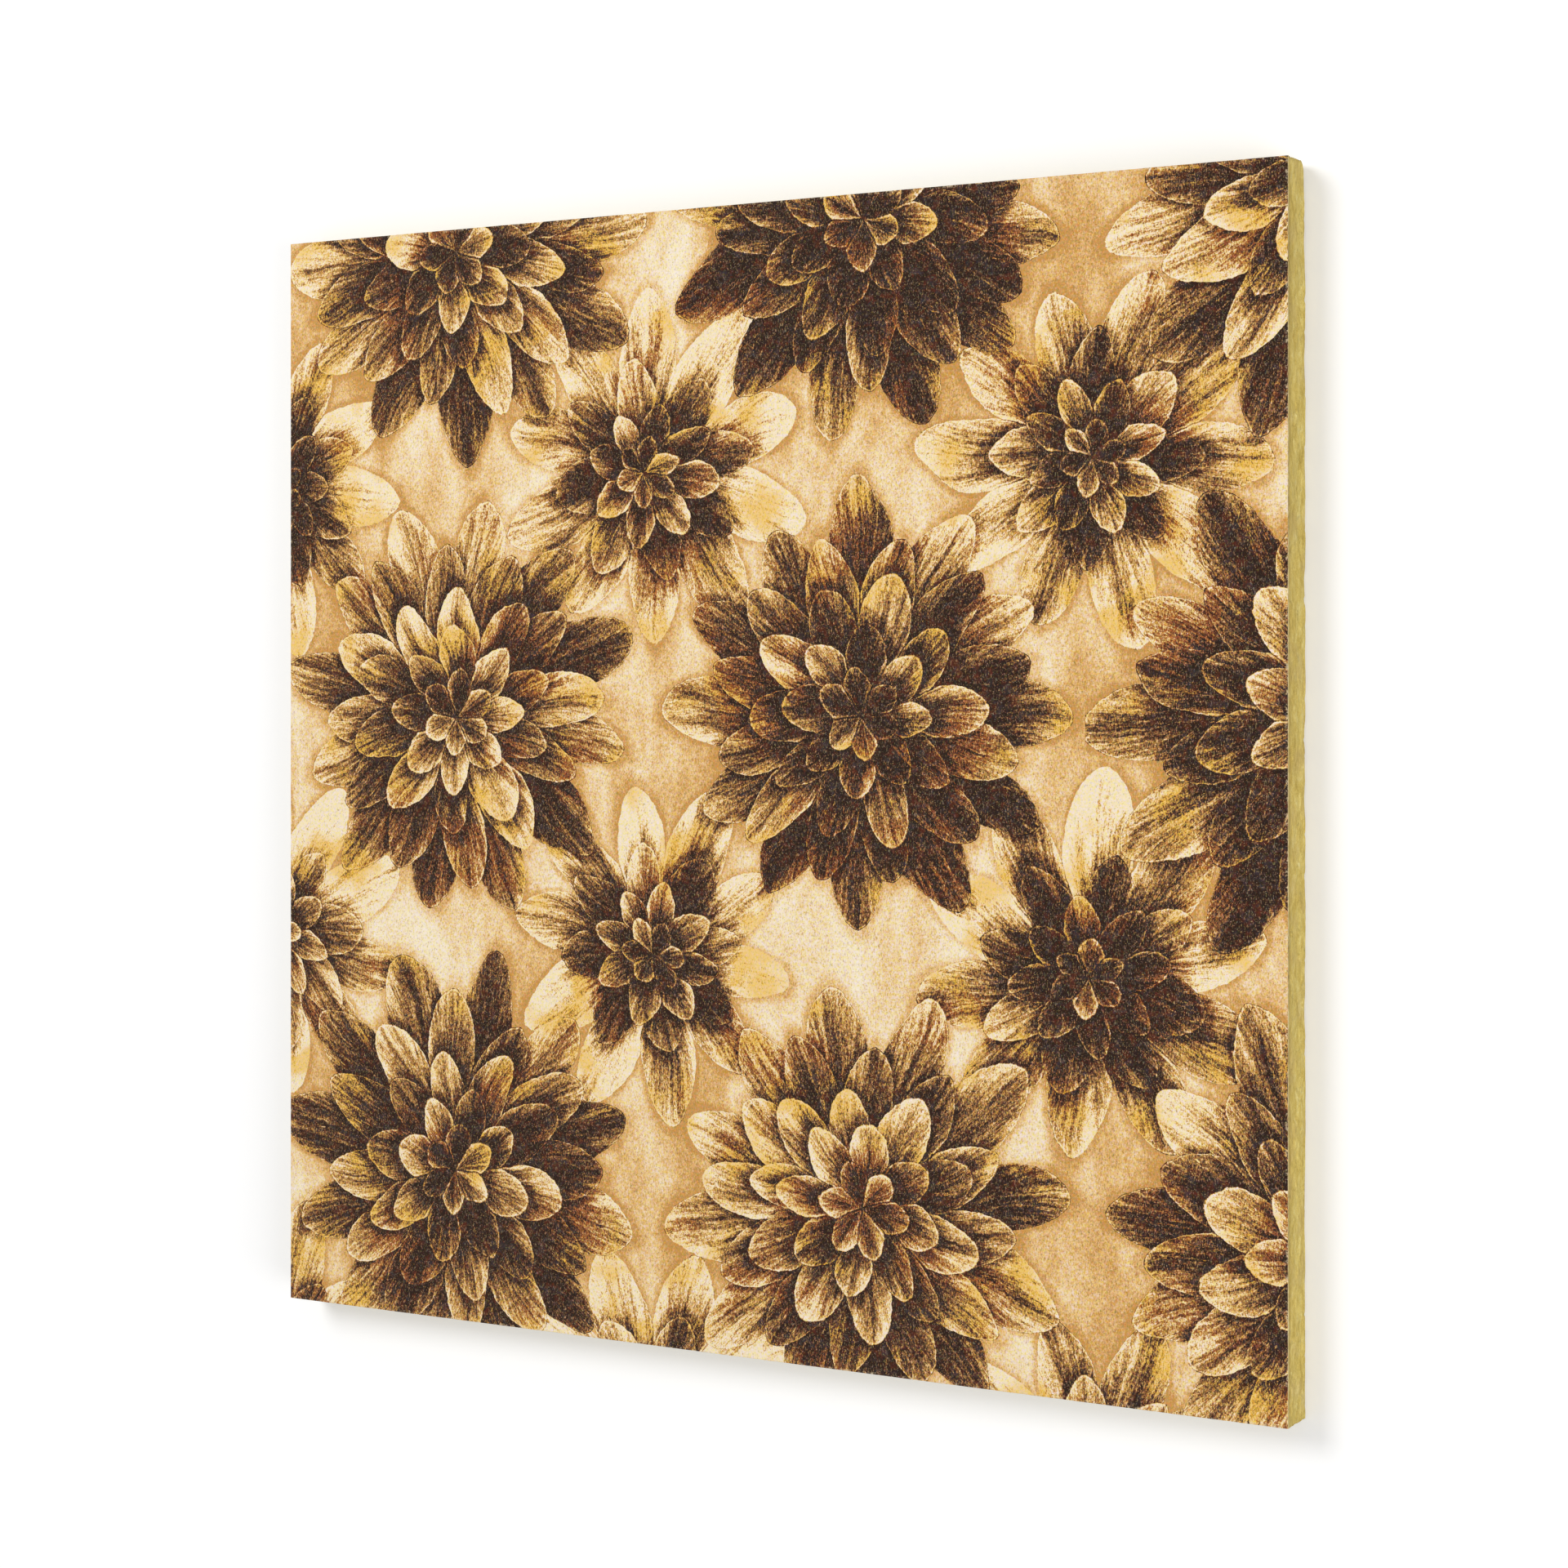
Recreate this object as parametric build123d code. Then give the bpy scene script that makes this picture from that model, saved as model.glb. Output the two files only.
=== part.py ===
"""Acoustic ceiling tile: a square-cut mineral wool board with a printed cloth facing glued over its front.

The tile lies on its back with the print up. Millimetres.
Origin: centre of the back face. X runs across the print, Y runs up it, and Z points out of the front.
"""
import os

from build123d import *

# Driving dimensions
tile_width = 595.0            # along X, for a 600 mm ceiling module with room to lift the tile in
tile_length = 595.0           # along Y
tile_thickness = 25.0         # board and facing together
facing_thickness = 1.5        # woven facing with the glue that holds it
facing_edge_radius = 0.4      # rounding that the cut leaves along the facing's front edge
back_arris_radius = 1.5       # softening of the wool along its back edges

# The worn back corner: a shallow press, and a steeper loss at the tip
press_reach_x = 30.0
press_reach_y = 55.0
press_depth = 2.6
tip_reach_x = 4.5
tip_reach_y = 5.0
tip_depth = 7.5

# Sizes that follow
wool_thickness = tile_thickness - facing_thickness
rounding_share = 1 / 3        # most of a layer's thickness that a rounding may take
facing_rounding = min(facing_edge_radius, rounding_share * facing_thickness)
arris_rounding = min(back_arris_radius, rounding_share * wool_thickness)
base_centre = (Align.CENTER, Align.CENTER, Align.MIN)


def without_back_corner(board, reach_x, reach_y, depth):
    """Slice the back corner at +X +Y off, along a plane that cuts the corner's own edge at the depth."""
    corner = Vector(tile_width / 2, tile_length / 2, 0)
    on_end = corner - Vector(reach_x, 0, 0)
    on_side = corner - Vector(0, reach_y, 0)
    on_upright = corner + Vector(0, 0, depth)
    across = on_side - on_end
    into_board = across.cross(on_upright - on_end)
    if into_board.Z < 0:
        into_board = -into_board
    return split(board, bisect_by=Plane(origin=on_end, x_dir=across, z_dir=into_board), keep=Keep.TOP)


def wool_board():
    """The slab: square-cut sides, soft back edges and one back corner worn by handling."""
    board = Box(tile_width, tile_length, wool_thickness, align=base_centre)
    back_edges = board.faces().sort_by(Axis.Z)[0].edges()
    board = fillet(back_edges, arris_rounding)
    board = without_back_corner(board, press_reach_x, press_reach_y, press_depth)
    return without_back_corner(board, tip_reach_x, tip_reach_y, tip_depth)


def printed_facing():
    """The cloth over the front: as wide as the board, with sharp corners and a slightly rounded front edge."""
    sheet = Box(tile_width, tile_length, facing_thickness, align=base_centre)
    front_edges = sheet.faces().sort_by(Axis.Z)[-1].edges()
    sheet = fillet(front_edges, facing_rounding)
    return Pos(0, 0, wool_thickness) * sheet


os.makedirs("parts", exist_ok=True)
export_step(wool_board(), "parts/wool_board.step")
export_step(printed_facing(), "parts/printed_facing.step")
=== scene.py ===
"""Looks of the acoustic ceiling tile: the printed woven facing, the wool board and a plain white studio.

Everything is in metres, in the part's own frame: the tile lies on its back, Z points out of the printed
front, Y runs up the print and X runs to its right.
"""
import math
from collections import namedtuple

import bpy
import numpy as np
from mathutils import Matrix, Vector, noise

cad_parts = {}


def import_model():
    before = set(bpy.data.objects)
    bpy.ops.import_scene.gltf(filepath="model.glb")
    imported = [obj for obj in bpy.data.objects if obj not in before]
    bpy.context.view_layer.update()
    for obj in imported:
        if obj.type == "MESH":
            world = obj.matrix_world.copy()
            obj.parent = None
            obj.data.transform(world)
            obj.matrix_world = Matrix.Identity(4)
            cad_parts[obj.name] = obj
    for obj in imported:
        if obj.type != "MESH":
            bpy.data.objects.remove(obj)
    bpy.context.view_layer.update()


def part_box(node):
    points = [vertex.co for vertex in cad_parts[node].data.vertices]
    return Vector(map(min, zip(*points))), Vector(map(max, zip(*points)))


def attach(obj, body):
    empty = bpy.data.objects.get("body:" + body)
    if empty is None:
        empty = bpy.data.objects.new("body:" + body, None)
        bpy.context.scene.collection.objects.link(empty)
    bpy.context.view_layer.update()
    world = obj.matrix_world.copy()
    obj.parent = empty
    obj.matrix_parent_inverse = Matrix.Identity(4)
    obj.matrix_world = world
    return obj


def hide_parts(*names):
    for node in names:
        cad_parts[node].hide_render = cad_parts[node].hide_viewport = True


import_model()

facing_low, facing_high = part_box("printed_facing")
_, wool_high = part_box("wool_board")
HALF = facing_high.x                 # from the tile's middle to its sides
MM = 0.001


# Node building: a material's pattern is written as arithmetic on values that vary over the surface

class Value:
    """A number, vector or colour that varies over a surface: one output of a material's nodes."""

    def __init__(self, graph, socket):
        self.graph = graph
        self.socket = socket

    def maths(self, operation, *others):
        return self.graph.node("ShaderNodeMath", (self, *others), operation=operation)

    def __add__(self, other):
        return self.maths("ADD", other)

    def __sub__(self, other):
        return self.maths("SUBTRACT", other)

    def __rsub__(self, other):
        return self.graph.node("ShaderNodeMath", (other, self), operation="SUBTRACT")

    def __mul__(self, other):
        return self.maths("MULTIPLY", other)

    def __truediv__(self, other):
        return self.maths("DIVIDE", other)

    def __pow__(self, other):
        return self.maths("POWER", other)

    __radd__ = __add__

    def above(self, limit):
        return self.maths("GREATER_THAN", limit)

    def size(self):
        return self.maths("ABSOLUTE")

    def floor(self):
        return self.maths("FLOOR")

    def fraction(self):
        return self.maths("FRACT")

    def least(self, other):
        return self.maths("MINIMUM", other)

    def most(self, other):
        return self.maths("MAXIMUM", other)

    def centred(self):
        """A share from 0 to 1, counted from its middle."""
        return self - 0.5

    def rise(self, low, high, start=0.0, end=1.0):
        """A smooth step from start, where this value is low, to end, where it is high."""
        return self.graph.node("ShaderNodeMapRange", (self, low, high, start, end),
                               interpolation_type="SMOOTHSTEP")

    def fall(self, low, high):
        """A smooth step from 1, where this value is low, to 0, where it is high."""
        return self.rise(low, high, start=1.0, end=0.0)

    def near(self, level, width):
        """1 where this value is at the level, and 0 where it is farther off than the width."""
        return (self - level).size().fall(0.0, width)

    def parts(self):
        """The three numbers of a vector or colour."""
        made = self.graph.make("ShaderNodeSeparateXYZ", (self,))
        return [Value(self.graph, socket) for socket in made.outputs]


class Graph:
    """One material: its node tree, its shader and the helpers that add nodes."""

    def __init__(self, name, roughness, specular):
        self.material = bpy.data.materials.new(name)
        self.material.use_nodes = True
        self.tree = self.material.node_tree
        self.shader = self.tree.nodes["Principled BSDF"]
        self.shader.inputs["Roughness"].default_value = roughness
        self.shader.inputs["Specular IOR Level"].default_value = specular
        self.place = Value(self, self.make("ShaderNodeTexCoord").outputs["Object"])

    def make(self, kind, values=(), **settings):
        made = self.tree.nodes.new(kind)
        for name, setting in settings.items():
            setattr(made, name, setting)
        for socket, value in zip([s for s in made.inputs if s.enabled], values):
            self.feed(socket, value)
        return made

    def feed(self, socket, value):
        if isinstance(value, Value):
            self.tree.links.new(value.socket, socket)
        else:
            socket.default_value = value

    def node(self, kind, values=(), **settings):
        made = self.make(kind, values, **settings)
        return Value(self, next(s for s in made.outputs if s.enabled))

    def vector(self, x, y, z):
        return self.node("ShaderNodeCombineXYZ", (x, y, z))

    def noise(self, place, scale, detail=2.0, roughness=0.5, colour=False):
        """Smooth noise from 0 to 1, or three of them as a colour, with scale waves to the metre."""
        made = self.make("ShaderNodeTexNoise", (place,), noise_dimensions="3D")
        made.inputs["Scale"].default_value = scale
        made.inputs["Detail"].default_value = detail
        made.inputs["Roughness"].default_value = roughness
        return Value(self, made.outputs["Color" if colour else "Fac"])

    def chance(self, x, y, z):
        """Three random numbers from 0 to 1 that change only where x, y or z does."""
        made = self.make("ShaderNodeTexWhiteNoise", (self.vector(x, y, z),), noise_dimensions="3D")
        return Value(self, made.outputs["Color"]).parts()

    def shift(self, place, amount, by):
        """The place, moved by up to half the amount along each axis as the colour says."""
        centred = self.node("ShaderNodeVectorMath", (by, (0.5, 0.5, 0.5)), operation="SUBTRACT")
        scaled = self.node("ShaderNodeVectorMath", (centred, (amount,) * 3), operation="MULTIPLY")
        return self.node("ShaderNodeVectorMath", (place, scaled), operation="ADD")

    def stretch(self, place, by):
        return self.node("ShaderNodeVectorMath", (place, by), operation="MULTIPLY")

    def turn(self, place, degrees):
        """The place, turned about the upright axis."""
        made = self.make("ShaderNodeVectorRotate", (place,), rotation_type="Z_AXIS")
        made.inputs["Angle"].default_value = math.radians(degrees)
        return Value(self, made.outputs["Vector"])

    def pick(self, share, first, second):
        """The first number where share is 0, the second where it is 1."""
        return self.node("ShaderNodeMix", (share, first, second), data_type="FLOAT")

    def blend(self, share, first, second, way="MIX"):
        """The first colour where share is 0, the second where it is 1."""
        return self.node("ShaderNodeMix", (share, first, second), data_type="RGBA", blend_type=way)

    def ramp(self, share, stops):
        """A colour from a list of (share, colour) stops."""
        made = self.make("ShaderNodeValToRGB", (share,))
        elements = made.color_ramp.elements
        while len(elements) < len(stops):
            elements.new(1.0)
        for element, (at, colour) in zip(elements, stops):
            element.position = at
            element.color = colour
        return Value(self, made.outputs["Color"])

    def finish(self, colour, height, depth):
        """Gives the shader its colour and a bump that is depth metres from its lowest to its highest."""
        self.feed(self.shader.inputs["Base Color"], colour)
        bump = self.make("ShaderNodeBump")
        bump.inputs["Distance"].default_value = depth
        self.feed(bump.inputs["Height"], height)
        self.tree.links.new(bump.outputs["Normal"], self.shader.inputs["Normal"])
        return self.material


def total(*weighted):
    """The sum of (value, weight) pairs."""
    return sum(value * weight for value, weight in weighted)


def paint(red, green, blue):
    """A colour given as it shows on a screen, 0 to 255, in the light's own scale, by the sRGB curve."""
    def linear(level):
        share = level / 255
        return share / 12.92 if share <= 0.04045 else ((share + 0.055) / 1.055) ** 2.4
    return (linear(red), linear(green), linear(blue), 1.0)


# The cloth and its print: rosettes of streaked petals in rings, on a mottled cream ground

THREAD = 0.58 * MM                   # from one thread of the cloth to the next
THREAD_WANDER = 1.2 * MM
WEAVE_MIDDLE = 0.55                  # usual height of the weave's relief, of its highest
WEAVE_DEPTH = 0.14 * MM
GRAIN_STRETCH = (1.5, 0.52, 1.0)     # finer across the upright threads than along them
BROAD_DRIFT = 0.016                  # how far the drawing wanders, in broad waves
FINE_DRIFT = 0.0024                  # and in fine ones

# A ring's reach is in pitches. Between two petals it falls short by valley, along a curve of the power tip.
# Stagger turns the ring, in petals, pale lifts its tone, and order is its own seed.
Ring = namedtuple("Ring", "petals reach valley tip stagger pale order")
PITCH = 0.252                        # from one rosette to the next
LATTICE_SHIFT = (0.22, 0.36)         # of a pitch, so that the cut tile ends within some rosettes
LARGE_RINGS = (
    Ring(petals=12, reach=0.480, valley=0.40, tip=1.7, stagger=0.0, pale=0.00, order=1),
    Ring(petals=12, reach=0.385, valley=0.38, tip=1.7, stagger=0.5, pale=0.00, order=2),
    Ring(petals=10, reach=0.285, valley=0.38, tip=1.7, stagger=0.2, pale=0.00, order=3),
    Ring(petals=8, reach=0.190, valley=0.36, tip=1.6, stagger=0.6, pale=0.00, order=4),
    Ring(petals=6, reach=0.105, valley=0.34, tip=1.5, stagger=0.1, pale=0.00, order=5),
)
SMALL_RINGS = (
    Ring(petals=10, reach=0.390, valley=0.42, tip=1.6, stagger=0.0, pale=0.46, order=6),
    Ring(petals=8, reach=0.250, valley=0.44, tip=1.5, stagger=0.3, pale=0.00, order=7),
    Ring(petals=8, reach=0.165, valley=0.40, tip=1.5, stagger=0.8, pale=0.00, order=8),
    Ring(petals=6, reach=0.080, valley=0.36, tip=1.5, stagger=0.2, pale=0.00, order=9),
)
SWELL = (0.93, 1.02)                 # smallest and largest rosette, of the reach stated
LENGTH_PLAY = 0.14                   # how much petals of one ring differ in length
PETAL_STEP = (0.30, 0.80)            # random number at which a petal starts to pale, and is palest
PETAL_SHADE = 0.40                   # how much petals of one rosette differ in tone
ROSETTE_SHADE = 0.20                 # how much rosettes differ in tone
ROSETTE_SEEDS = 97                   # sets the petals of different rosettes apart
STROKE_SEEDS = 61                    # sets the strokes of different petals apart
SHADOW_REACH = 0.045                 # of a pitch, as the next two are
RIM = (0.003, 0.008)                 # pale rim of a petal: where it starts to fade, and its end
OUTLINE = (0.0, 0.0034)              # dark line at its edge, in the same way
MIDRIB = 0.06                        # of half a petal's width
TIP_POWER = 2.8                      # how late a petal turns paler on the way to its tip
TONE_MIDDLE = 0.62
TONE_CONTRAST = 1.34
TONE_LEVEL = 0.37                    # where the ramp has the middle tone
STATE_NAMES = ("along", "across", "lane", "out", "seed", "shade", "edge", "light", "cover", "shadow")

BROWNS_TO_GOLDS = (
    (0.00, paint(41, 25, 18)),
    (0.16, paint(75, 48, 35)),
    (0.34, paint(122, 82, 52)),
    (0.52, paint(174, 123, 66)),
    (0.68, paint(217, 162, 78)),
    (0.84, paint(242, 199, 122)),
    (1.00, paint(251, 233, 196)),
)
GROUND_TONES = (
    (0.00, paint(206, 152, 82)),
    (0.35, paint(235, 191, 126)),
    (0.65, paint(246, 221, 177)),
    (1.00, paint(253, 240, 212)),
)
GILT = paint(242, 190, 62)
RUST = paint(158, 80, 36)
RUDDY_DARK = paint(100, 44, 25)
COOL_DARK = paint(62, 53, 55)
LIGHT_SPECK = paint(234, 202, 154)
DARK_SPECK = paint(60, 36, 27)
WORN_CLOTH = paint(226, 206, 168)
PATCH = (0.50, 0.66)                 # noise at which a patch of another ink starts, and is full
INK_DRIFT = 0.90                     # how strongly the inks drift in hue
BLUE_DRIFT = 1.6                     # how much more the blue drifts than the red
UNCHANGED = 0.5                      # level of an overlaid colour that leaves the one below as it is
WORN_REACH = (0.3 * MM, 1.6 * MM)    # from the sides: where the wear starts to fade, and its end
WORN_PLACES = (0.53, 0.62)           # noise at which a worn place starts, and is full


def arch(steps):
    """0 at each whole step and 1 halfway to the next: the rounding of one thread."""
    share = steps.fraction()
    return share * (1 - share) * 4


def weave(graph):
    """The relief of a plain weave, the cloth's grain, and a speckle of more or less ink and of painted weave
    shade.

    Each crossing shows one rounded thread, which took more or less ink than the next."""
    x, y, _ = graph.place.parts()
    wander = graph.noise(graph.place, scale=260, detail=1).centred() * THREAD_WANDER
    column = (x + wander) / THREAD
    row = (y + wander) / THREAD
    ink, _, _ = graph.chance(column.floor(), row.floor(), 0.0)
    every_other = ((column.floor() + row.floor()) / 2).fraction().above(0.25)
    arch_x = arch(column)
    arch_y = arch(row)
    woven = graph.pick(every_other, arch_y * (arch_x + 1) / 2, arch_x * (arch_y + 1) / 2)
    grain = graph.noise(graph.stretch(graph.place, GRAIN_STRETCH), scale=1050, detail=2, roughness=0.85)
    # The speckle is paler on the threads' rounded tops and darker between them: painted shade of the weave.
    specks_and_weave_shade = total((grain, 1.0), (ink.centred(), 0.20), (woven - WEAVE_MIDDLE, 0.15))
    return woven, grain, specks_and_weave_shade


def rosettes(graph, place, shift, rings, state):
    """Lays the rings of one lattice of rosettes, outer first, over what the state already holds."""
    x, y, _ = place.parts()
    column = x / PITCH + shift[0]
    row = y / PITCH + shift[1]
    east = column.fraction().centred()
    north = row.fraction().centred()
    spin, tone, swell = graph.chance(column.floor(), row.floor(), rings[0].order)
    distance = (east * east + north * north) ** 0.5 / swell.rise(0.0, 1.0, *SWELL)
    turns = north.maths("ARCTAN2", east) / math.tau + spin
    covered = 0.0
    for ring in rings:
        steps = turns * ring.petals + ring.stagger
        petal = steps.floor().maths("FLOORED_MODULO", ring.petals)
        across = steps.fraction() * 2 - 1
        length, shade, seed = graph.chance(petal, tone * ROSETTE_SEEDS, ring.order)
        reach = length.centred() * LENGTH_PLAY * ring.reach + ring.reach
        outline = reach * (1 - across.size() ** ring.tip * ring.valley)
        inside = outline - distance
        over = inside.above(0.0)
        half_width = math.pi / ring.petals
        fresh = {
            "along": distance / outline,
            "across": across,
            "lane": across * (half_width * ring.reach * PITCH),
            "seed": seed * STROKE_SEEDS + ring.order,
            "shade": shade.rise(*PETAL_STEP) * PETAL_SHADE + (tone * ROSETTE_SHADE + ring.pale),
            "edge": inside.least((1 - across.size()) * distance * half_width),
        }
        fallen = (inside * -1).fall(0.0, SHADOW_REACH)
        state["shadow"] = graph.pick(over, fallen.most(state["shadow"]), 0.0)
        for name, value in fresh.items():
            state[name] = graph.pick(over, state[name], value)
        covered = over.most(covered)
    for name, value in (("out", distance * PITCH), ("light", north - east), ("cover", 1.0)):
        state[name] = graph.pick(covered, state[name], value)
    return state


def strokes(graph, state, across, along, detail, roughness):
    """Noise drawn out along each petal: waves to the metre across the petal, and along it."""
    place = graph.vector(state["lane"] * across, state["out"] * along, state["seed"])
    return graph.noise(place, scale=1, detail=detail, roughness=roughness)


def petal_tone(graph, state, daubs, specks_and_weave_shade):
    """How dark or pale the petals are: brush strokes that run along each petal and meet at its root."""
    folds = strokes(graph, state, across=95, along=14, detail=2, roughness=0.5)
    hairs = strokes(graph, state, across=400, along=30, detail=4, roughness=0.74)
    flecks = strokes(graph, state, across=700, along=150, detail=2, roughness=0.7)
    tone = total(
        (state["along"] ** TIP_POWER, 0.50),
        (state["shade"], 1.0),
        (folds.centred(), 1.05),
        (hairs.centred(), 0.80),
        (daubs.centred(), 0.60),
        (specks_and_weave_shade.centred(), 1.10),
        (state["light"], 0.20),
        (state["across"], 0.08),
        (hairs.near(0.58, 0.034), 0.20),
        (hairs.near(0.42, 0.030), -0.16),
        (flecks.rise(0.58, 0.70), 0.22),
        (flecks.fall(0.30, 0.42), -0.22),
        (state["edge"].fall(*RIM), 0.24),
        (state["edge"].fall(*OUTLINE), -0.55),
        (state["across"].near(0.0, MIDRIB), -0.16),
        (state["shadow"], -0.32),
    )
    return (tone - TONE_MIDDLE) * TONE_CONTRAST + TONE_LEVEL


def petal_colour(graph, tone, drawn, fine):
    """Browns to golds by tone, with patches of gilt and rust, and ruddy and cool flecks in the darks."""
    colour = graph.ramp(tone, BROWNS_TO_GOLDS)
    gilt = graph.noise(drawn, scale=34, detail=2).rise(*PATCH) * tone.rise(0.30, 0.70)
    colour = graph.blend(gilt * 0.66, colour, GILT)
    warm = graph.noise(drawn, scale=26, detail=1).rise(*PATCH)
    rust = warm * tone.rise(0.12, 0.34) * tone.fall(0.45, 0.80)
    colour = graph.blend(rust * 0.70, colour, RUST)
    dark = tone.fall(0.10, 0.55)
    ruddy, cool, _ = fine.parts()
    colour = graph.blend(dark * ruddy.rise(*PATCH) * 0.55, colour, RUDDY_DARK)
    return graph.blend(dark * cool.rise(*PATCH) * 0.55, colour, COOL_DARK)


def ground_colour(graph, state, drawn, daubs, specks_and_weave_shade):
    """The stained cream ground, with the rosettes' soft shadow on it."""
    stains = graph.noise(graph.stretch(drawn, (1.6, 0.8, 1.0)), scale=13, detail=5, roughness=0.66)
    tone = total(
        (stains.rise(0.25, 0.75), 1.0),
        (daubs.centred(), 0.70),
        (specks_and_weave_shade.centred(), 1.20),
        (state["shadow"], -0.42),
    )
    return graph.ramp(tone, GROUND_TONES)


def print_material():
    """Matte printed cloth: the rosettes in browns and golds, on a plain weave."""
    graph = Graph("printed_cloth", roughness=0.92, specular=0.18)
    woven, grain, specks_and_weave_shade = weave(graph)
    broad = graph.noise(graph.place, scale=16, detail=1, colour=True)
    fine = graph.noise(graph.place, scale=190, detail=3, roughness=0.65, colour=True)
    drawn = graph.shift(graph.shift(graph.place, BROAD_DRIFT, broad), FINE_DRIFT, fine)
    daubs = graph.noise(drawn, scale=420, detail=3, roughness=0.75)

    state = dict.fromkeys(STATE_NAMES, 0.0)
    half_step = (LATTICE_SHIFT[0] + 0.5, LATTICE_SHIFT[1] + 0.5)
    state = rosettes(graph, drawn, half_step, SMALL_RINGS, state)
    state = rosettes(graph, drawn, LATTICE_SHIFT, LARGE_RINGS, state)
    petals = petal_colour(graph, petal_tone(graph, state, daubs, specks_and_weave_shade), drawn, fine)
    colour = graph.blend(state["cover"], ground_colour(graph, state, drawn, daubs, specks_and_weave_shade), petals)

    # The cloth shows through the print: bare and soaked specks, inks that drift in hue, and worn sides
    # The speckle also carries the weave's painted shade.
    colour = graph.blend(specks_and_weave_shade.rise(0.53, 0.80) * 0.34, colour, LIGHT_SPECK)
    colour = graph.blend(specks_and_weave_shade.fall(0.22, 0.47) * 0.34, colour, DARK_SPECK)
    red, _, blue = graph.noise(graph.place, scale=640, detail=2, roughness=0.75, colour=True).parts()
    inks = graph.vector(red, UNCHANGED, blue.centred() * BLUE_DRIFT + UNCHANGED)
    colour = graph.blend(INK_DRIFT, colour, inks, "OVERLAY")
    x, y, _ = graph.place.parts()
    from_side = (HALF - x.size()).least(HALF - y.size())
    worn = from_side.fall(*WORN_REACH) * daubs.rise(*WORN_PLACES)
    colour = graph.blend(worn * 0.65, colour, WORN_CLOTH)
    return graph.finish(colour, total((woven, 0.7), (grain, 0.3)), WEAVE_DEPTH)


# The facing's cut edge

CUT_THREAD_TONES = (
    (0.34, paint(138, 112, 68)),
    (0.48, paint(184, 161, 109)),
    (0.60, paint(214, 195, 146)),
    (0.74, paint(233, 219, 182)),
)
CUT_THREAD_DEPTH = 0.15 * MM


def cloth_edge_material():
    """Undyed cream threads, with ink and glue drawn into them in places."""
    graph = Graph("cut_cloth", roughness=0.95, specular=0.15)
    threads = graph.noise(graph.stretch(graph.place, (1, 1, 2)), scale=620, detail=3, roughness=0.65)
    grime = graph.noise(graph.place, scale=45, detail=3, roughness=0.6)
    colour = graph.ramp(total((threads, 0.55), (grime, 0.45)), CUT_THREAD_TONES)
    return graph.finish(colour, threads, CUT_THREAD_DEPTH)


# The wool

WOOL_TONES = (
    (0.28, paint(190, 158, 75)),
    (0.42, paint(225, 198, 105)),
    (0.54, paint(240, 216, 124)),
    (0.72, paint(253, 241, 174)),
)
DULL_WOOL = paint(214, 187, 128)
# painted shade of the wall's front part, towards the facing
SHADED_FRONT_WOOL = paint(176, 147, 76)
# painted shade in the wool's hollows
HOLLOW_SHADE = paint(142, 115, 54)
GLUED_WOOL = paint(168, 140, 74)
GLUE_REACH = (4.0 * MM, 1.0 * MM)    # below the facing: where the glue line starts, and is darkest
WOOL_DRIFT = 0.012                   # how far the fibres wander
WOOL_BUMP = 0.32 * MM
FIBRE_DIRECTIONS = (12, 57, 102, 147)    # degrees in the layers of the wool
FIBRE_STRETCH = (0.13, 1.0, 2.2)     # long along the fibre, and flat


def fibre_lines(graph, place, scale, width):
    """Thin winding lines that lie in flat layers and cross each other: 1 on a line, 0 away from it."""
    lines = 0.0
    for degrees in FIBRE_DIRECTIONS:
        lying = graph.stretch(graph.turn(place, degrees), FIBRE_STRETCH)
        lines = graph.noise(lying, scale, detail=1).near(0.5, width).most(lines)
    return lines


def wool_material():
    """Mustard mineral wool: crossing fibres in flat layers, clumps of other tones and a darker glue line."""
    # The colour also has painted shade: in the hollows, in the gaps between fibres and towards the facing.
    graph = Graph("mineral_wool", roughness=0.96, specular=0.12)
    _, _, z = graph.place.parts()
    drift = graph.noise(graph.place, scale=55, detail=3, roughness=0.6, colour=True)
    bent = graph.shift(graph.place, WOOL_DRIFT, drift)
    pale_fibres = fibre_lines(graph, bent, scale=620, width=0.030)
    # Painted shade in the gaps between the fibres, which the bump also sinks.
    shaded_gaps = fibre_lines(graph, graph.stretch(bent, (1.0, 1.0, -0.9)), scale=480, width=0.022)
    clumps = graph.noise(graph.stretch(bent, (1, 1, 1.6)), scale=130, detail=5, roughness=0.66)
    layers = graph.noise(graph.stretch(bent, (1, 1, 6)), scale=80, detail=4, roughness=0.62)
    hollows = graph.noise(graph.stretch(bent, (1, 1, 1.4)), scale=260, detail=3, roughness=0.6)
    hue = graph.noise(graph.place, scale=60, detail=2)
    near_glue = z.rise(*(wool_high.z - reach for reach in GLUE_REACH))
    # Painted shade in the wool's hollows, which the bump also sinks.
    shaded_hollow = (hollows + near_glue * 0.10).rise(0.56, 0.76)

    tone = total((clumps, 0.60), (layers, 0.40), (pale_fibres, 0.10), (shaded_gaps, -0.13))
    colour = graph.ramp(tone, WOOL_TONES)
    colour = graph.blend(hue.rise(0.48, 0.68) * 0.40, colour, DULL_WOOL)
    # Painted shade: the wall darkens from the back towards the facing.
    colour = graph.blend(z.rise(0.0, wool_high.z) * 0.36, colour, SHADED_FRONT_WOOL)
    colour = graph.blend(shaded_hollow * 0.34, colour, HOLLOW_SHADE)
    colour = graph.blend(near_glue * 0.25, colour, GLUED_WOOL)
    height = total((clumps, 0.40), (layers, 0.30), (pale_fibres, 0.25), (shaded_gaps, -0.25), (shaded_hollow, -0.30))
    return graph.finish(colour, height, WOOL_BUMP)


# Meshes: rings of points round the square tile, closed by a flat cap and a grid

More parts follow.
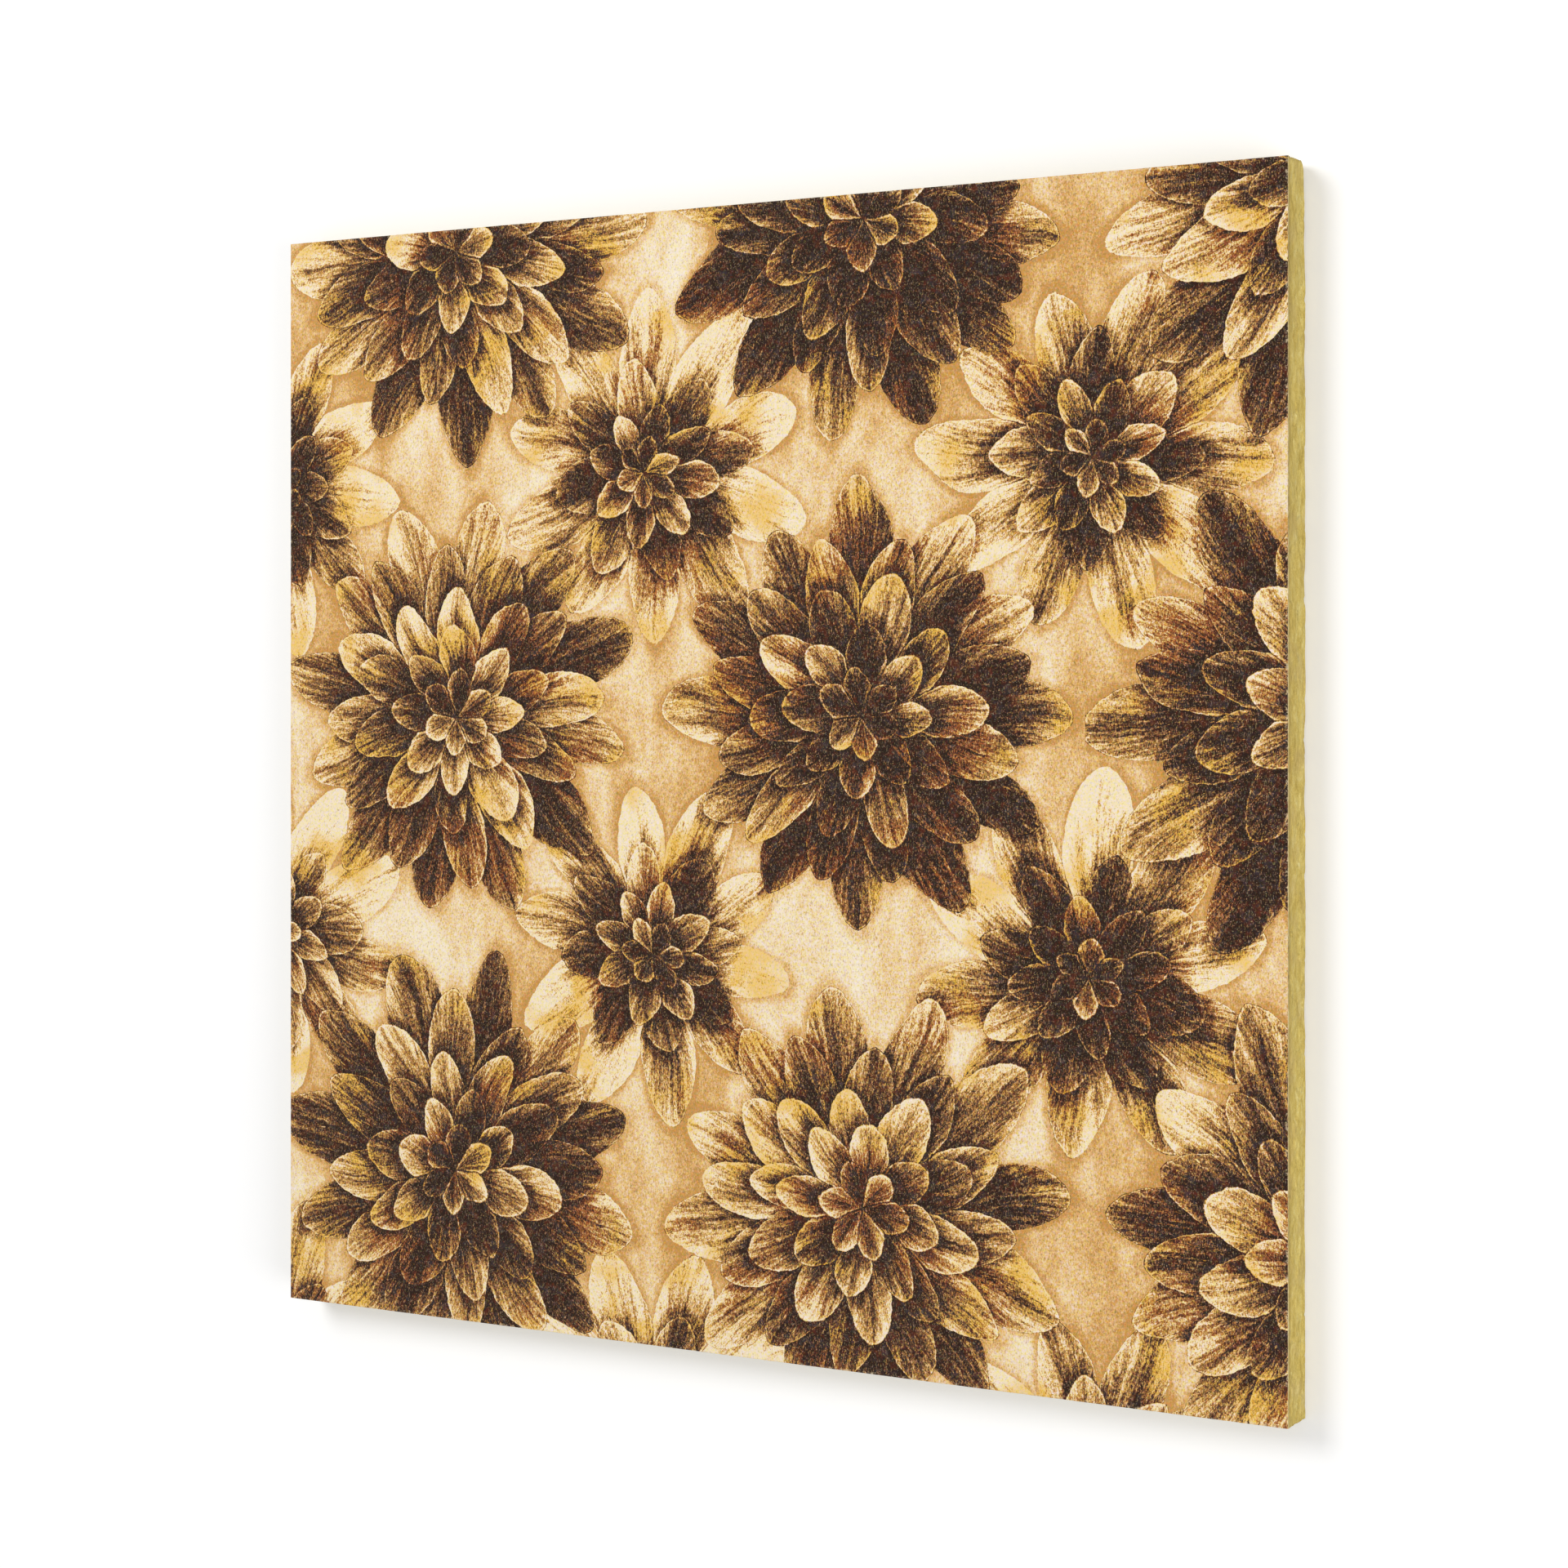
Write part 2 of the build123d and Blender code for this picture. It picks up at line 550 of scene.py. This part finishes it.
CLOTH_POINTS = 240                   # along each side of the cloth's rings
CLOTH_ROUNDING = 0.4 * MM            # along the front edge
CLOTH_ROUNDING_STEPS = 3
CLOTH_MARGIN = 1.5 * MM              # from the sides to the ring that the grid starts from
CLOTH_UNEVENNESS = 0.12 * MM
CLOTH_WAVES = 28                     # to the metre
CLOTH_EDGE = 0.4                     # faces that look up less than this show cut threads
ON_FACE = 1e-6                       # points this near the front lie on it
WOOL_POINTS = 400                    # along each side of the wool's rings
WALL_ROWS = 20                       # of points down the wool's sides
WALL_ZONE = 1.6 * MM                 # points this near a side belong to its wall or arris
BACK_ROUNDING = 1.5 * MM
BACK_ROUNDING_STEPS = 4
BACK_INSETS = (3 * MM, 5 * MM, 8 * MM)
STEEP = 0.7                          # faces that look up or down less than this are walls

# The wool's unevenness: smooth parts are (waves to the metre, depth in millimetres), and broken parts are
# (waves to the metre, level that the noise passes, depth in millimetres for each unit beyond it)
CUT_WAVES = ((24, 0.30), (90, 0.20))
CUT_LAYERS = ((70, 0.35), (210, 0.25))
LAYER_SQUEEZE = 5                    # how many times finer the layers are in height
CUT_PITS = (260, 0.66, 3.0)
CUT_RAGGED = (55, 0.52, 2.2)
CUT_RAGGED_HEIGHT = 6 * MM           # above the back, where the wall's raggedness ends
CUT_SPARED = 0.35                    # millimetres of the sum that stay uncut
HELD_SHARE = 0.05                    # of the depth, where the facing's glue holds the wool
HELD_REACH = 9 * MM                  # from the facing to about where the cut has its full depth
FELT = ((30, 0.22), (120, 0.30))
BACK_RAGGED = (38, 0.45, 1.8)
BACK_RAGGED_FADE = 3 * MM            # from the sides
BACK_SPARED = 0.12                   # millimetres of the sum that stay on the floor
CRUSHES = (                          # the worn back corner: depth, and how fast it fades along X and Y
    (3.6 * MM, 1.6 * MM, 2.0 * MM),
    (2.6 * MM, 12.0 * MM, 26.0 * MM),
)


def ring_points(half, z, count):
    """A square ring of points at one height, count to a side, anticlockwise from the corner at -X -Y."""
    share = np.arange(count) / count * 2 - 1
    ones = np.ones(count)
    sides = ((share, -ones), (ones, share), (-share, ones), (-ones, -share))
    flat = np.concatenate([np.stack(side, 1) for side in sides])
    return np.column_stack([flat * half, np.full(4 * count, z)])


def rounding(radius, steps):
    """A quarter round in equal steps: how far each point lies in from the side, and from the broad face."""
    angles = [math.pi / 2 * step / steps for step in range(steps + 1)]
    return [(radius * (1 - math.cos(angle)), radius * (1 - math.sin(angle))) for angle in angles]


def slab(name, rings, count):
    """A closed mesh: a cap on the first ring, bands from ring to ring, and a grid within the last one.

    Each ring is (inset, z), with count points to a side. The grid has half as many."""
    points = [ring_points(HALF - inset, z, count) for inset, z in rings]
    around = 4 * count
    faces = [list(range(around))[::-1]]
    for number in range(len(rings) - 1):
        start = number * around
        for at in range(around):
            after = (at + 1) % around
            faces.append([start + at, start + after, start + around + after, start + around + at])

    # Triangles from the last ring to one with half its points
    inset, z = rings[-1]
    inset += 2 * HALF / count
    count //= 2
    points.append(ring_points(HALF - inset, z, count))
    start = (len(rings) - 1) * around
    inner = start + around
    for at in range(around // 2):
        after = (at + 1) % (around // 2)
        first = start + 2 * at
        middle = first + 1
        last = start + (2 * at + 2) % around
        faces.append([first, middle, inner + at])
        faces.append([middle, inner + after, inner + at])
        faces.append([middle, last, inner + after])
    faces += inner_grid(points, inner, count, HALF - inset, z)

    mesh = bpy.data.meshes.new(name)
    mesh.from_pydata(np.concatenate(points).tolist(), [], faces)
    mesh.update()
    return mesh


def inner_grid(points, start, count, half, z):
    """Quads that fill the square ring that starts at a point number, with the new points put on the list."""
    share = (np.arange(1, count) / count * 2 - 1) * half
    east, north = np.meshgrid(share, share)
    points.append(np.column_stack([east.ravel(), north.ravel(), np.full(east.size, z)]))
    inside = start + 4 * count

    def number(column, row):
        if row == 0:
            return start + column
        if column == count:
            return start + count + row
        if row == count:
            return start + 3 * count - column
        if column == 0:
            return start + (4 * count - row) % (4 * count)
        return inside + (row - 1) * (count - 1) + column - 1

    return [[number(c, r), number(c + 1, r), number(c + 1, r + 1), number(c, r + 1)]
            for r in range(count) for c in range(count)]


def add_piece(name, mesh, materials):
    piece = bpy.data.objects.new(name, mesh)
    bpy.context.scene.collection.objects.link(piece)
    for material in materials:
        mesh.materials.append(material)
    return piece


def lay_out(mesh, front, span, strip, gap):
    """A map for baking: the broad side fills a square, the walls lie beside it in strips.

    front is 1 where the broad side looks up and -1 where it looks down. The glued side is small."""
    low = min(vertex.co.z for vertex in mesh.vertices)
    high = max(vertex.co.z for vertex in mesh.vertices)
    places = mesh.uv_layers.new(name="OFBake").data
    for face in mesh.polygons:
        facing_out = face.normal.z * front > 0
        steep = abs(face.normal.z) < STEEP
        along = 1 if abs(face.normal.x) > abs(face.normal.y) else 0
        row = 2 * along + int(face.normal[1 - along] > 0)
        for corner in face.loop_indices:
            point = mesh.vertices[mesh.loops[corner].vertex_index].co
            east = point.x / (2 * HALF) + 0.5
            north = point.y / (2 * HALF) + 0.5
            if steep:
                rise = (point.z - low) / (high - low)
                start = span + gap + row * (strip + gap)
                places[corner].uv = ((north if along else east) * span, start + rise * strip)
            elif facing_out:
                places[corner].uv = (east * span, north * span)
            else:
                places[corner].uv = (span + gap + east * strip, north * strip)


def uneven(place, scale):
    """Smooth noise from 0 to 1 at a point."""
    return (noise.noise(place * scale) + 1) / 2


def smooth(place, waves):
    """Millimetres of smooth unevenness at a point."""
    return sum(uneven(place, scale) * depth for scale, depth in waves)


def broken(place, patches):
    """Millimetres of unevenness at a point, which only some patches have."""
    scale, level, slope = patches
    return max(0.0, uneven(place, scale) - level) * slope


def facing_piece():
    """The printed cloth: cut flush at its sides and following the wool's slight unevenness."""
    low, high = facing_low.z, facing_high.z
    rings = [(0.0, low), (0.0, (low + high) / 2)]
    rings += [(inset, high - drop) for inset, drop in rounding(CLOTH_ROUNDING, CLOTH_ROUNDING_STEPS)]
    rings.append((CLOTH_MARGIN, high))
    mesh = slab("printed_facing_sheet", rings, CLOTH_POINTS)
    for vertex in mesh.vertices:
        if vertex.co.z > high - ON_FACE:
            vertex.co.z -= CLOTH_UNEVENNESS * uneven(vertex.co, CLOTH_WAVES)
    mesh.update()
    for face in mesh.polygons:
        face.use_smooth = True
        face.material_index = int(face.normal.z < CLOTH_EDGE)
    lay_out(mesh, front=1, span=0.955, strip=0.008, gap=0.002)
    piece = add_piece("printed_facing_sheet", mesh, [print_material(), cloth_edge_material()])
    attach(piece, "root")
    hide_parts("printed_facing")
    return piece


def cut_depth(place):
    """How far a point of the wool's wall lies behind the cut: broad waves, flat layers, and pits."""
    layered = Vector((place.x, place.y, place.z * LAYER_SQUEEZE))
    near_back = max(0.0, 1 - place.z / CUT_RAGGED_HEIGHT)
    depth = smooth(place, CUT_WAVES) + smooth(layered, CUT_LAYERS) + broken(place, CUT_PITS)
    depth += broken(place, CUT_RAGGED) * near_back
    held = min(1.0, HELD_SHARE + (wool_high.z - place.z) / HELD_REACH)
    return max(0.0, depth - CUT_SPARED) * held * MM


def back_lift(place):
    """How far the wool's back lies above the floor: felted unevenness, a ragged edge and the worn corner."""
    from_side = min(HALF - abs(place.x), HALF - abs(place.y))
    ragged = broken(place, BACK_RAGGED) * math.exp(-from_side / BACK_RAGGED_FADE)
    lift = (smooth(place, FELT) + ragged - BACK_SPARED) * MM
    for depth, fade_x, fade_y in CRUSHES:
        lift += depth * math.exp(-(HALF - place.x) / fade_x - (HALF - place.y) / fade_y)
    return max(0.0, lift)


def wool_piece():
    """The wool board, with its cut sides, soft back edges and worn back corner."""
    top = wool_high.z
    wall = top - BACK_ROUNDING
    rings = [(0.0, top - wall * row / WALL_ROWS) for row in range(WALL_ROWS)]
    rings += rounding(BACK_ROUNDING, BACK_ROUNDING_STEPS)
    rings += [(inset, 0.0) for inset in BACK_INSETS]
    mesh = slab("wool_board_slab", rings, WOOL_POINTS)
    for vertex in mesh.vertices:
        place = vertex.co.copy()
        depth = cut_depth(place)
        for axis in (0, 1):
            if HALF - abs(place[axis]) < WALL_ZONE:
                vertex.co[axis] -= math.copysign(depth, place[axis])
        vertex.co.z += back_lift(place) * (1 - place.z / top)
    mesh.flip_normals()
    mesh.update()
    for face in mesh.polygons:
        face.use_smooth = True
    lay_out(mesh, front=-1, span=0.84, strip=0.034, gap=0.004)
    piece = add_piece("wool_board_slab", mesh, [wool_material()])
    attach(piece, "root")
    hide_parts("wool_board")
    return piece


# Studio: the camera, a white floor and soft light

LENS = 70.43                         # millimetres, as the sensor's width is
SENSOR = 36.0
FRAME_SHIFT = -140 / 1920            # of the frame's width, both in pixels
VIEW_ANGLE = 30.26                   # degrees
VIEW_PLACE = (0.8162, 0.0572, 1.3559)    # from the middle of the printed face
WHITE = (1.0, 1.0, 1.0, 1.0)
FLOOR_COLOUR = (0.85, 0.85, 0.85, 1.0)
FLOOR_REACH = 8.0
FLOOR_DROP = 0.05 * MM               # below the tile, so that the two share no plane
GLOW_REACH = (0.5, 2.2)              # from the tile's middle: where the glow starts to grow, and is full
GLOW_LEVELS = (0.20, 1.0)            # before and beyond
SKY_LIGHT = 0.46                     # strength of the light from all round
SKY_SEEN = 1.0                       # and of the white that shows


def camera():
    """The viewing angle: off the face's own axis towards +X, with the frame shifted down the print."""
    data = bpy.data.cameras.new("camera")
    data.lens = LENS
    data.sensor_width = SENSOR
    data.shift_y = FRAME_SHIFT
    viewer = bpy.data.objects.new("camera", data)
    viewer.location = Vector(VIEW_PLACE) + Vector((0.0, 0.0, facing_high.z))
    viewer.rotation_euler = (0.0, math.radians(VIEW_ANGLE), 0.0)
    bpy.context.scene.collection.objects.link(viewer)
    bpy.context.scene.camera = viewer


def seen_directly(tree):
    """1 where the camera, a mirror or a clear surface looks, and 0 for light that reaches other things."""
    path = tree.nodes.new("ShaderNodeLightPath")
    seen = path.outputs["Is Camera Ray"]
    for name in ("Is Glossy Ray", "Is Transmission Ray"):
        either = tree.nodes.new("ShaderNodeMath")
        either.operation = "MAXIMUM"
        tree.links.new(seen, either.inputs[0])
        tree.links.new(path.outputs[name], either.inputs[1])
        seen = either.outputs[0]
    return seen


def floor():
    """A wide white floor that keeps the tile's soft shadow and shows as plain white farther off."""
    mesh = bpy.data.meshes.new("floor")
    signs = ((-1, -1), (1, -1), (1, 1), (-1, 1))
    corners = [(FLOOR_REACH * x, FLOOR_REACH * y, -FLOOR_DROP) for x, y in signs]
    mesh.from_pydata(corners, [], [(0, 1, 2, 3)])
    graph = Graph("white_floor", roughness=1.0, specular=0.0)
    shader = graph.shader
    shader.inputs["Base Color"].default_value = FLOOR_COLOUR
    shader.inputs["Emission Color"].default_value = WHITE
    away = graph.node("ShaderNodeVectorMath", (graph.place,), operation="LENGTH")
    glow = away.rise(*GLOW_REACH, *GLOW_LEVELS)
    graph.feed(shader.inputs["Emission Strength"], glow * Value(graph, seen_directly(graph.tree)))
    plane = add_piece("floor", mesh, [graph.material])


def world():
    """Even light from all round, white where it is seen directly."""
    surroundings = bpy.data.worlds.new("studio")
    surroundings.use_nodes = True
    tree = surroundings.node_tree
    background = tree.nodes["Background"]
    background.inputs["Color"].default_value = WHITE
    strength = tree.nodes.new("ShaderNodeMapRange")
    strength.inputs["To Min"].default_value = SKY_LIGHT
    strength.inputs["To Max"].default_value = SKY_SEEN
    tree.links.new(seen_directly(tree), strength.inputs["Value"])
    tree.links.new(strength.outputs[0], background.inputs["Strength"])
    bpy.context.scene.world = surroundings


def lamp(name, place, width, watts):
    """A round soft lamp that looks at the tile's middle."""
    data = bpy.data.lights.new(name, "AREA")
    data.shape = "DISK"
    data.size = width
    data.energy = watts
    made = bpy.data.objects.new(name, data)
    made.location = place
    made.rotation_euler = (-Vector(place)).to_track_quat("-Z", "Y").to_euler()
    bpy.context.scene.collection.objects.link(made)


wool = wool_piece()
facing = facing_piece()
floor()
world()
lamp("key", place=(-1.2, 1.4, 2.6), width=1.6, watts=50)
lamp("fill", place=(2.4, -0.6, 1.4), width=1.6, watts=32)
camera()
bpy.context.scene.view_settings.view_transform = "Standard"
